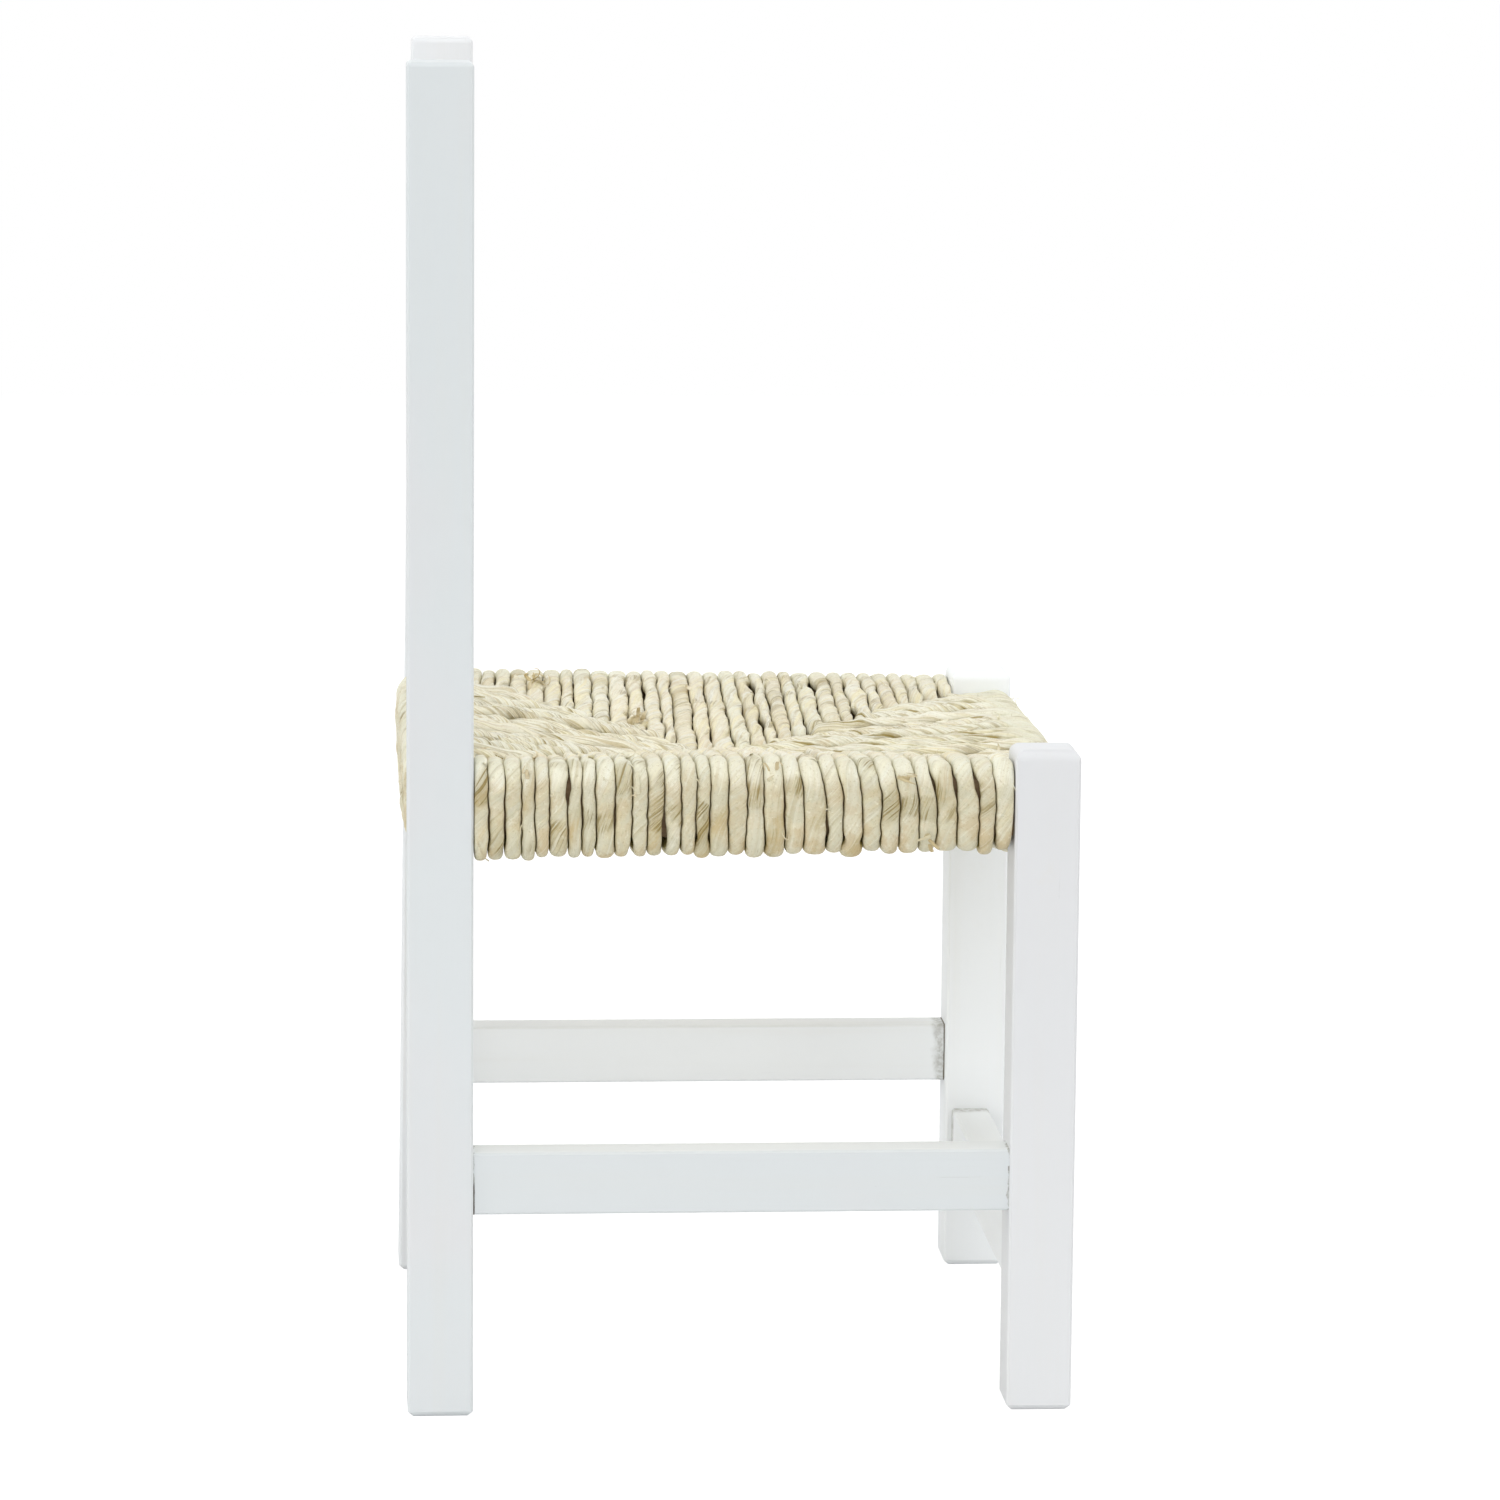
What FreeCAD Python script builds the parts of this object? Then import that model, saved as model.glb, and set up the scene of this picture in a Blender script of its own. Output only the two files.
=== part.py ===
"""Childs chair: a frame of square stock, mortised and tenoned, with an envelope-woven cord seat.

Axes: X points to the chair's front, Y to its left side, Z up. The origin is on the floor, under the middle
of the chair. Lengths are in millimetres.

Each rail is described once, by where it lies and how thick it is, and that description gives the rail, its
tenons and the mortises that take them. A strand of the seat is a chain of straight prisms bent round its
rail, so that all its faces are flat: it starts on the diagonal, climbs to the rail, goes round it and runs
back underneath.
"""
import FreeCAD, Part
import math
import os
from collections import namedtuple

os.makedirs("parts", exist_ok=True)

# Overall size and the square stock
HEIGHT = 600.0
DEPTH = 297.0
WIDTH = 300.0
POST = 29.0
LEG_HEIGHT = 299.5

# How far forward of its foot the top of the left back post stands
LEFT_POST_LEAN = 6.6

# How much lower the front seat rail lies than the others, and how much lower again the seat's front left
# corner is: the left leg is shorter by it, and the left and the front seat rails slope down to it
FRONT_RAIL_DROP = 3.5
CORNER_FALL = 3.6

# Dressed edges of posts and legs
ARRIS = 1.0
POST_TOP_ROUND = 2.4
LEG_TOP_ROUND = 5.0
FOOT_CHAMFER = 2.5

# Stretchers
STRETCHER_HEIGHT = 28.0
STRETCHER_THICKNESS = 18.0
STRETCHER_ARRIS = 1.0
SIDE_STRETCHER_BOTTOM = 91.5
SIDE_STRETCHER_INSET = 2.6
CROSS_STRETCHER_BOTTOM = 51.0
CROSS_STRETCHER_INSET = 8.0

# Slats of the back
SLAT_COUNT = 3
SLAT_HEIGHT = 44.0
SLAT_THICKNESS = 12.0
SLAT_ARRIS = 2.0
TOP_SLAT_DROP = 24.0

# Seat rails, under the cord
SEAT_RAIL_HEIGHT = 28.0
SEAT_RAIL_THICKNESS = 15.0
SEAT_RAIL_ARRIS = 2.5

# Joints: where two seat rails meet in a post, the side rail's tenon is high and the other one low
TENON_LENGTH = 14.0
TENON_SHOULDER = 3.5
TENON_STAGGER = 2.0
MORTISE_CLEARANCE = 0.15
MORTISE_END_GAP = 1.0

# Cord of the seat
SIDE_STRANDS = 31
CROSS_STRANDS = 29
CORD_THICKNESS = 6.6
CORD_CLEARANCE = 0.3
CORD_PROUD = 0.5
LEG_PROUD = 4.3
STRAND_GAP = 0.6
MITRE_GAP = 0.6
TOP_SAG = 17.5
UNDERSIDE_RISE = 6.0
WRAP_RADIUS = 3.0
TOP_TURNS = 3
UNDERSIDE_TURNS = 2
CORD_FLAT_SHARE = 0.46
CORD_SIDE_SHARE = 0.66

# How near two heights have to be to count as one
SAME_PLACE = 0.001

HALF_DEPTH = DEPTH / 2
HALF_WIDTH = WIDTH / 2
SEAT_TOP = LEG_HEIGHT - LEG_PROUD
SEAT_RAIL_BOTTOM = SEAT_TOP - CORD_THICKNESS - CORD_CLEARANCE - SEAT_RAIL_HEIGHT
UP = FreeCAD.Vector(0, 0, 1)
DIRECTIONS = {"x": FreeCAD.Vector(1, 0, 0), "y": FreeCAD.Vector(0, 1, 0)}
SPANS = {"x": HALF_DEPTH - POST, "y": HALF_WIDTH - POST}

# bottom and the tenon's heights are those at a rail's start, and its end lies lower by fall
Rail = namedtuple("Rail", "axis start end across bottom height thickness arris tenon_bottom tenon_top fall")


def edges_along(shape, direction):
    """The edges of a straight piece that run along one direction."""
    return [edge for edge in shape.Edges if abs(edge.tangentAt(edge.FirstParameter).dot(direction)) > 0.5]


def edges_at(shape, height):
    """The edges of an upright piece that lie level at one height."""
    return [edge for edge in shape.Edges if all(abs(end.Z - height) < SAME_PLACE for end in edge.Vertexes)]


def lean_at(height):
    """How far forward the left back post stands at a height."""
    return LEFT_POST_LEAN * height / HEIGHT


def write(shape, node):
    shape.exportStep("parts/" + node + ".step")
    print(node, "solids", len(shape.Solids), "valid", shape.isValid(), "volume", round(shape.Volume, 1))


def shoulders(axis, across, top):
    """Where a rail starts and ends: on the left side it starts at the leaning post, clear of it at the top."""
    lean = lean_at(top) if axis == "x" and across > 0 else 0
    return lean - SPANS[axis], SPANS[axis]


def full_rail(axis, across, bottom, height, thickness, arris):
    """A rail whose tenon has a shoulder on all four sides."""
    low = bottom + TENON_SHOULDER
    high = bottom + height - TENON_SHOULDER
    ends = shoulders(axis, across, bottom + height)
    return Rail(axis, *ends, across, bottom, height, thickness, arris, low, high, 0)


def seat_rail(axis, across, drop, fall):
    """A seat rail: the side ones have their tenon in the upper half, the others in the lower half."""
    bottom = SEAT_RAIL_BOTTOM - drop
    middle = bottom + SEAT_RAIL_HEIGHT / 2
    if axis == "x":
        low = middle + TENON_STAGGER / 2
        high = bottom + SEAT_RAIL_HEIGHT - TENON_SHOULDER
    else:
        low = bottom + TENON_SHOULDER
        high = middle - TENON_STAGGER / 2
    ends = shoulders(axis, across, bottom + SEAT_RAIL_HEIGHT)
    section = (SEAT_RAIL_HEIGHT, SEAT_RAIL_THICKNESS, SEAT_RAIL_ARRIS)
    return Rail(axis, *ends, across, bottom, *section, low, high, fall)


def frame_rails():
    """Every rail of the frame by its node's name."""
    rail_inset = CORD_THICKNESS + CORD_CLEARANCE - CORD_PROUD + SEAT_RAIL_THICKNESS / 2
    side_inset = SIDE_STRETCHER_INSET + STRETCHER_THICKNESS / 2
    cross_inset = CROSS_STRETCHER_INSET + STRETCHER_THICKNESS / 2
    stretcher = (STRETCHER_HEIGHT, STRETCHER_THICKNESS, STRETCHER_ARRIS)
    rails = {}
    for side, sign, fall in (("left", 1, CORNER_FALL), ("right", -1, 0)):
        rails["seat_rail_" + side] = seat_rail("x", sign * (HALF_WIDTH - rail_inset), 0, fall)
        place = sign * (HALF_WIDTH - side_inset)
        rails["side_stretcher_" + side] = full_rail("x", place, SIDE_STRETCHER_BOTTOM, *stretcher)
    for end, sign, drop, fall in (("front", 1, FRONT_RAIL_DROP, CORNER_FALL), ("back", -1, 0, 0)):
        rails["seat_rail_" + end] = seat_rail("y", sign * (HALF_DEPTH - rail_inset), drop, fall)
        place = sign * (HALF_DEPTH - cross_inset)
        rails[end + "_stretcher"] = full_rail("y", place, CROSS_STRETCHER_BOTTOM, *stretcher)
    slat_pitch = (HEIGHT - TOP_SLAT_DROP - SEAT_TOP) / SLAT_COUNT
    for number in range(SLAT_COUNT):
        bottom = HEIGHT - TOP_SLAT_DROP - SLAT_HEIGHT - number * slat_pitch
        place = POST / 2 - HALF_DEPTH
        slat = full_rail("y", place, bottom, SLAT_HEIGHT, SLAT_THICKNESS, SLAT_ARRIS)
        rails["back_slat_" + str(number + 1)] = slat
    return rails


def bar(rail, start, end, half_thickness, bottom, top, fall):
    """A straight bar along a rail's axis, centred on the rail, whose end lies lower than its start by fall."""
    corners = []
    for side, height in ((-1, bottom), (1, bottom), (1, top), (-1, top)):
        across = rail.across + side * half_thickness
        place = (start, across) if rail.axis == "x" else (across, start)
        corners.append(FreeCAD.Vector(*place, height))
    face = Part.Face(Part.makePolygon(corners + corners[:1]))
    return face.extrude(DIRECTIONS[rail.axis] * (end - start) - UP * fall)


def tenon_ends(rail, length, clearance):
    """The two blocks at a rail's ends: its tenons, or with a clearance the mortises for them."""
    half = rail.thickness / 2 - TENON_SHOULDER + clearance
    low = rail.tenon_bottom - clearance
    high = rail.tenon_top + clearance
    near = bar(rail, rail.start - length, rail.start, half, low, high, 0)
    far = bar(rail, rail.end, rail.end + length, half, low - rail.fall, high - rail.fall, 0)
    return [near, far]


def rail_solid(rail):
    """A rail between its shoulders, with eased long edges and a tenon at each end."""
    top = rail.bottom + rail.height
    body = bar(rail, rail.start, rail.end, rail.thickness / 2, rail.bottom, top, rail.fall)
    body = body.makeChamfer(rail.arris, edges_along(body, DIRECTIONS[rail.axis]))
    return body.fuse(tenon_ends(rail, TENON_LENGTH, 0)).removeSplitter()


def post_solid(front_sign, side_sign, height, top_round, lean, mortises):
    """A square post or leg with a rounded top, chamfered foot, eased corners and its mortises."""
    x = front_sign * (HALF_DEPTH - POST / 2) - POST / 2
    y = side_sign * (HALF_WIDTH - POST / 2) - POST / 2
    base = Part.makePlane(POST, POST, FreeCAD.Vector(x, y, 0))
    blank = base.extrude(FreeCAD.Vector(lean, 0, height))
    eased = blank.makeChamfer(ARRIS, edges_along(blank, UP))
    capped = blank.makeFillet(top_round, edges_at(blank, height))
    capped = capped.makeChamfer(FOOT_CHAMFER, edges_at(capped, 0))
    return eased.common(capped).cut(mortises).Solids[0]


def corner(centre_in, centre_up, start, turns):
    """The points of a quarter turn round a rail's edge, bent in equal steps."""
    step = math.pi / 2 / turns
    radius = WRAP_RADIUS / math.cos(step / 2)
    angles = [start + (number + 0.5) * step for number in range(turns)]
    return [(centre_in + radius * math.cos(angle), centre_up + radius * math.sin(angle)) for angle in angles]


def wrap_line(lowered):
    """A strand's inner line round its rail: distance in from the post's outer face, and height."""
    outer = CORD_THICKNESS - CORD_PROUD
    inner = outer + SEAT_RAIL_THICKNESS + 2 * CORD_CLEARANCE
    top = SEAT_RAIL_BOTTOM + SEAT_RAIL_HEIGHT + CORD_CLEARANCE - lowered
    under = SEAT_RAIL_BOTTOM - CORD_CLEARANCE - lowered
    over = corner(outer + WRAP_RADIUS, top - WRAP_RADIUS, math.pi / 2, TOP_TURNS)
    below = corner(outer + WRAP_RADIUS, under + WRAP_RADIUS, math.pi, UNDERSIDE_TURNS)
    return [(inner, top)] + over + below + [(inner, under)]


def unit(step_in, step_up):
    length = math.hypot(step_in, step_up)
    return step_in / length, step_up / length


def outward(direction):
    """The side of a strand's run that faces away from its rail."""
    return direction[1], -direction[0]


def strand_profile(width):
    """A strand's section: place along the rail, and height over the inner line."""
    half = width / 2
    flat = half * CORD_FLAT_SHARE
    side = CORD_THICKNESS * CORD_SIDE_SHARE
    return [(-half, 0), (half, 0), (half, side), (flat, CORD_THICKNESS), (-flat, CORD_THICKNESS), (-half, side)]


def solid_through(sections):
    """A closed solid of flat faces through a row of sections with matching corners."""
    rings = [[FreeCAD.Vector(*point) for point in section] for section in sections]
    outlines = [rings[0], rings[-1]]
    for ring, following in zip(rings, rings[1:]):
        for number in range(len(ring)):
            after = (number + 1) % len(ring)
            outlines.append([ring[number], ring[after], following[after], following[number]])
    faces = [Part.Face(Part.makePolygon(outline + outline[:1])) for outline in outlines]
    shell = Part.Shell(faces)
    shell.fixTolerance(SAME_PLACE / 100)
    solid = Part.Solid(shell)
    if solid.Volume < 0:
        solid.reverse()
    return solid


def strand(centre, width, ends, deepest, lowered):
    """One strand: centre is its place along the rail, ends how far in it reaches at its two sides.

    Its rail is lowered there by lowered, and the strand still runs to the level of the seat's middle, which
    is deepest in.
    """
    line = wrap_line(lowered)
    span = deepest - line[0][0]
    slopes = ((TOP_SAG - lowered) / span, (UNDERSIDE_RISE + lowered) / span)
    runs = [unit(-1, slopes[0])]
    for point, following in zip(line, line[1:]):
        runs.append(unit(following[0] - point[0], following[1] - point[1]))
    runs.append(unit(1, slopes[1]))
    profile = strand_profile(width)

    def end_section(point, run):
        side = outward(run)
        section = []
        for along, height in profile:
            reach = ends[0] + (ends[1] - ends[0]) * (along / width + 0.5)
            distance = (reach - point[0] - side[0] * height) / run[0]
            rise = side[1] * height + run[1] * distance
            section.append((centre + along, reach, point[1] + rise))
        return section

    sections = [end_section(line[0], runs[0])]
    for point, before, after in zip(line, runs, runs[1:]):
        first = outward(before)
        second = outward(after)
        middle = unit(first[0] + second[0], first[1] + second[1])
        stretch = 1 / (middle[0] * first[0] + middle[1] * first[1])
        section = []
        for along, height in profile:
            offset = height * stretch
            section.append((centre + along, point[0] + middle[0] * offset, point[1] + middle[1] * offset))
        sections.append(section)
    sections.append(end_section(line[-1], runs[-1]))
    return sections


def panel_sections(length, count, other_length, other_count, setback=0, drop=0, fall=0):
    """The strands of one side of the seat, from one post to the other, each as its row of sections.

    setback is how far the first post reaches in past its plain place, which is where the diagonal starts.
    The rail lies lower than the plain height by drop at its start and by drop and fall at its end.
    """
    pitch = (length - setback) / count
    other_pitch = other_length / other_count
    ratio = other_pitch / (length / count)
    width = pitch - STRAND_GAP
    deepest = POST + other_pitch * min(count, other_count) / 2
    back_off = MITRE_GAP / 2 * math.hypot(1, ratio)

    def reach(along):
        return min(POST + min(along, length - along) * ratio, deepest) - back_off

    strands = []
    for number in range(count):
        centre = setback + (number + 0.5) * pitch
        ends = (reach(centre - width / 2), reach(centre + width / 2))
        strands.append(strand(centre, width, ends, deepest, drop + fall * centre / length))
    return strands


def seat_panels():
    """The four mitred panels of the seat by their node's name."""
    side_counts = (2 * SPANS["x"], SIDE_STRANDS, 2 * SPANS["y"], CROSS_STRANDS)
    cross_counts = (2 * SPANS["y"], CROSS_STRANDS, 2 * SPANS["x"], SIDE_STRANDS)
    left_rows = panel_sections(*side_counts, lean_at(SEAT_TOP), 0, CORNER_FALL)
    front_rows = panel_sections(*cross_counts, 0, FRONT_RAIL_DROP, CORNER_FALL)

    def place_side(point):
        return point[0] - SPANS["x"], point[1] - HALF_WIDTH, point[2]

    def place_cross(point):
        return point[1] - HALF_DEPTH, point[0] - SPANS["y"], point[2]

    def solids(rows, place):
        return [solid_through([[place(point) for point in ring] for ring in row]) for row in rows]

    def mirrored(rows, place, axis):
        return [solid.mirror(FreeCAD.Vector(0, 0, 0), DIRECTIONS[axis]) for solid in solids(rows, place)]

    right = solids(panel_sections(*side_counts), place_side)
    back = solids(panel_sections(*cross_counts), place_cross)
    left = mirrored(left_rows, place_side, "y")
    front = mirrored(front_rows, place_cross, "x")
    return {"seat_weave_right": right, "seat_weave_left": left, "seat_weave_back": back, "seat_weave_front": front}


def print_gaps(panels):
    """Print the least gap between neighbouring strands and across a diagonal."""
    right, left, back, front = panels.values()
    beside = []
    for panel in (left, back, front):
        beside += [first.distToShape(second)[0] for first, second in zip(panel, panel[1:])]
    across = []
    for side, end in ((right, back), (left, back[::-1]), (right[::-1], front), (left[::-1], front[::-1])):
        across += [first.distToShape(second)[0] for first, second in zip(side, end)]
    print("least gap beside", round(min(beside), 3), "across the diagonal", round(min(across), 3))


def build():
    rails = frame_rails()
    mortises = []
    for name, rail in rails.items():
        write(rail_solid(rail), name)
        mortises += tenon_ends(rail, TENON_LENGTH + MORTISE_END_GAP, MORTISE_CLEARANCE)
    for side, side_sign in (("left", 1), ("right", -1)):
        lean, fall = (LEFT_POST_LEAN, CORNER_FALL) if side == "left" else (0, 0)
        post = post_solid(-1, side_sign, HEIGHT, POST_TOP_ROUND, lean, mortises)
        write(post, "back_post_" + side)
        leg = post_solid(1, side_sign, LEG_HEIGHT - fall, LEG_TOP_ROUND, 0, mortises)
        write(leg, "front_leg_" + side)
    panels = seat_panels()
    for name, strands in panels.items():
        write(Part.makeCompound(strands), name)
    print_gaps(panels)


build()
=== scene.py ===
"""Childs chair: a white painted softwood frame with a seat of twisted palm leaf in the envelope pattern."""
import math

import bpy
import numpy as np
from mathutils import Matrix, Vector


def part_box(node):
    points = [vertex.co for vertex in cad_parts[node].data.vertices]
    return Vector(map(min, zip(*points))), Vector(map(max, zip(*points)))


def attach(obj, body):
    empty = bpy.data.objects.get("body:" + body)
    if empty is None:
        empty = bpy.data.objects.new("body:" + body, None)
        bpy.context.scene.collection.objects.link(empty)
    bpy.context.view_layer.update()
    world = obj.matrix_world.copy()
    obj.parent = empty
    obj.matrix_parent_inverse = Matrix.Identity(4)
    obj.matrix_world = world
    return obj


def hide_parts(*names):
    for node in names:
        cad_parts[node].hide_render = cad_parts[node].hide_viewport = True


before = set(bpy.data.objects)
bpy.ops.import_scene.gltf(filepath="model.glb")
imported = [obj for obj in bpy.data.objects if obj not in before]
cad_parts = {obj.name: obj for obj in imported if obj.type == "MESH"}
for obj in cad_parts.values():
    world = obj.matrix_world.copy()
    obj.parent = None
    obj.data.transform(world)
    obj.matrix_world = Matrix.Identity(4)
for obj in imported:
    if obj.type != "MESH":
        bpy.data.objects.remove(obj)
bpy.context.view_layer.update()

MM = 0.001
TURN = 2 * math.pi
X, Y, Z = 0, 1, 2

# Camera: its place, its turns in degrees, and its lens for a frame 36 mm wide
CAMERA_PLACE = (-0.1890, -2.7387, 0.7101)
CAMERA_YAW = 4.214
CAMERA_PITCH = 8.969
CAMERA_ROLL = 0.477
CAMERA_LENS = 143.61
FRAME_WIDTH = 36.0
FARTHEST_SEEN = 100.0

# Light: the room's, and each soft lamp's place, width, height and watts
ROOM_LIGHT = 0.34
LAMPS = {
    "lamp_above": ((0.3, -0.5, 2.6), 2.2, 2.2, 32.0),
    "lamp_near": ((-0.5, -2.8, 0.95), 3.4, 1.3, 30.2),
    "lamp_far": ((-0.4, 2.8, 1.15), 3.0, 1.3, 24.0),
    "lamp_front": ((2.8, 0.2, 1.15), 3.0, 1.3, 18.0),
    "lamp_back": ((-2.8, -0.2, 1.15), 3.0, 1.3, 27.0),
}
SEAT_MIDDLE = (0.0, 0.0, 0.28)

# Floor: its size and colour, and the strength and share of the glow that makes it white to the camera
FLOOR_SIZE = 9.0
FLOOR_COLOUR = (0.90, 0.90, 0.90, 1.0)
WHITE = (1.0, 1.0, 1.0, 1.0)
FLOOR_GLOW = 1.26
FLOOR_GLOW_SHARE = 0.72

# Paint and bare wood
PAINT = (0.645, 0.682, 0.693)
PAINT_MAUVE = (0.667, 0.672, 0.684)
# Lighter white laid over the paint as painted light
PAINT_LIT_WHITE = (0.930, 0.955, 0.968)
PAINT_THIN = (0.735, 0.700, 0.600)
GRIME = (0.250, 0.235, 0.190)
CREVICE = (0.075, 0.055, 0.040)
WOOD_DARK = (0.22, 0.14, 0.075)
WOOD_LIGHT = (0.38, 0.27, 0.16)
PAINT_IOR = 1.46
PAINT_RELIEF = 0.3 * MM
WOOD_RELIEF = 0.4 * MM

# Crack in the paint where a piece meets a post, and the heights up to which it is unbroken
CRACK_EDGE = 0.05 * MM, 0.5 * MM
CRACK_WAVER = 0.7 * MM
CRACK_FADE = 3 * MM
CRACK_UNBROKEN = 1.0
CRACK_BROKEN = 0.0
NEAR_CRACK_RISE = 15 * MM

# Smudge beside the crack: its waver, and its width at a piece's two ends
SMUDGE_WAVER = 6 * MM
NEAR_SMUDGES = 0.5 * MM, 0.5 * MM
FAR_SMUDGES = 2 * MM, 7 * MM
FRONT_SMUDGES = 1.5 * MM, 11 * MM
BACK_SMUDGES = 1.2 * MM, 1.2 * MM

# Palm leaf
LEAF_CREAM = (0.860, 0.812, 0.635)
LEAF_PALE = (0.955, 0.938, 0.800)
LEAF_TAN = (0.690, 0.565, 0.365)
LEAF_GREEN = (0.820, 0.822, 0.655)
LEAF_TOP = (0.815, 0.823, 0.675)
LEAF_YELLOW = (0.890, 0.815, 0.540)
LEAF_GREY = (0.865, 0.858, 0.765)
# Painted shade on the strands' outer faces, darker than their tops
LEAF_FACE_SHADE = (0.585, 0.533, 0.355)
LEAF_COOL = (0.625, 0.615, 0.465)
LEAF_RUST = (0.600, 0.465, 0.255)
LEAF_BROWN = (0.385, 0.305, 0.108)
# Painted shade on the strands' sides, where they turn into the gaps between them
LEAF_SIDE_SHADE = (0.360, 0.288, 0.045)
LEAF_STAIN = (0.560, 0.425, 0.205)
LEAF_DARK = (0.255, 0.178, 0.032)
LEAF_IOR = 1.4
LEAF_RELIEF = 0.55 * MM

# Cord: its size, its bend round a rail, and the points that make a strand or a loose end
CORD_RADIUS = 3.3 * MM
CORNER_RADIUS = 6.0 * MM
WORN_CORNER_RADIUS = 7.4 * MM
GIRTH = 22.0 * MM
RING_STEP = 1.3 * MM
RING_POINTS = 16
END_RINGS = 11
BEND_POINTS = 12
FLAT_POINTS = 90
CREASE_STEP = 8 * MM
END_MARGIN = 12 * MM

# Seat: its strands, its sag, the strands' ends on the diagonals, and the narrower and wider gaps
SIDE_STRANDS = 31
CROSS_STRANDS = 29
FIRST_SEED = 11
TOP_SAG = 17.5 * MM
UNDERSIDE_RISE = 6.0 * MM
SAG_BEND = 14.0 * MM
DIVE = 4.0 * MM
DIVE_LENGTH = 6.0 * MM
OVERLAP = 2.2 * MM
TIP_LENGTH = 2.6 * MM
POST_GAP = 0.3 * MM
NARROW_GAPS = 0.5 * MM, 2.4 * MM
WIDE_GAPS = 0.4 * MM, 3.6 * MM
NARROWER_SHARE = 0.72

# Stretches over which something sets in along a strand, from the middle of its outer face
FREE_AWAY = 24 * MM, 46 * MM
FREE_LOOK_AWAY = 24 * MM, 40 * MM
SHOULDER_OVER = 8 * MM, 15 * MM
OUTER_FACE_FROM = -16 * MM, -8 * MM
OUTER_FACE_TO = 20 * MM, 26 * MM
LOW_FACE_UNDER = 3 * MM, 15 * MM
PRESSED_OVER = 8 * MM, 17 * MM
PRESSED_UNDER = 24 * MM, 34 * MM
LEANING_OVER = 24 * MM
LOOSE_FROM = -12 * MM, 30 * MM
HOOKED_OVER = 2 * MM, 22 * MM
SLACK_UNDER = 4 * MM, 18 * MM
HEAVE_OVER = 16 * MM, 30 * MM
SQUARE_AWAY = 7 * MM, 15 * MM, 40 * MM

# Marks of the leaf on the near and far sides of the seat: strand number, millimetres along its run
NEAR_KNOTS = (14, 20), (22, 21)
NEAR_STAINS = (0, -8), (3, -5), (6, 6), (11, 14), (15, 8), (14, 10), (18, 11), (24, 0), (27, -9)
NEAR_CURLS = (3, -15), (18, -15), (25, -12), (26, 12)
FAR_KNOTS = (26, -50), (20, -112)
FAR_STAINS = (23, -40), (17, -60), (13, -90), (8, -44), (27, -26)
FAR_CURLS = (26, -48), (26, -51), (20, -112), (20, -115)


class Value:
    """A shader socket that can be used in sums."""

    def __init__(self, finish, socket):
        self.finish = finish
        self.socket = socket

    def math(self, operation, first, second=0.0):
        return self.finish.node("ShaderNodeMath", {"operation": operation}, {0: first, 1: second})

    def __add__(self, other):
        return self.math("ADD", self, other)

    def __radd__(self, other):
        return self.math("ADD", other, self)

    def __sub__(self, other):
        return self.math("SUBTRACT", self, other)

    def __rsub__(self, other):
        return self.math("SUBTRACT", other, self)

    def __mul__(self, other):
        return self.math("MULTIPLY", self, other)

    def __rmul__(self, other):
        return self.math("MULTIPLY", other, self)

    def __neg__(self):
        return self.math("SUBTRACT", 0.0, self)

    def __abs__(self):
        return self.math("ABSOLUTE", self)

    def floor(self):
        return self.math("FLOOR", self)

    def fraction(self):
        return self.math("FRACT", self)

    def larger(self, other):
        return self.math("MAXIMUM", self, other)

    def beside(self, output):
        """Another output of the node that this value comes from."""
        return Value(self.finish, self.socket.node.outputs[output])

    def parts(self):
        """The three numbers of a place."""
        first = self.finish.node("ShaderNodeSeparateXYZ", {}, {0: self})
        return first, first.beside(1), first.beside(2)


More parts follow.
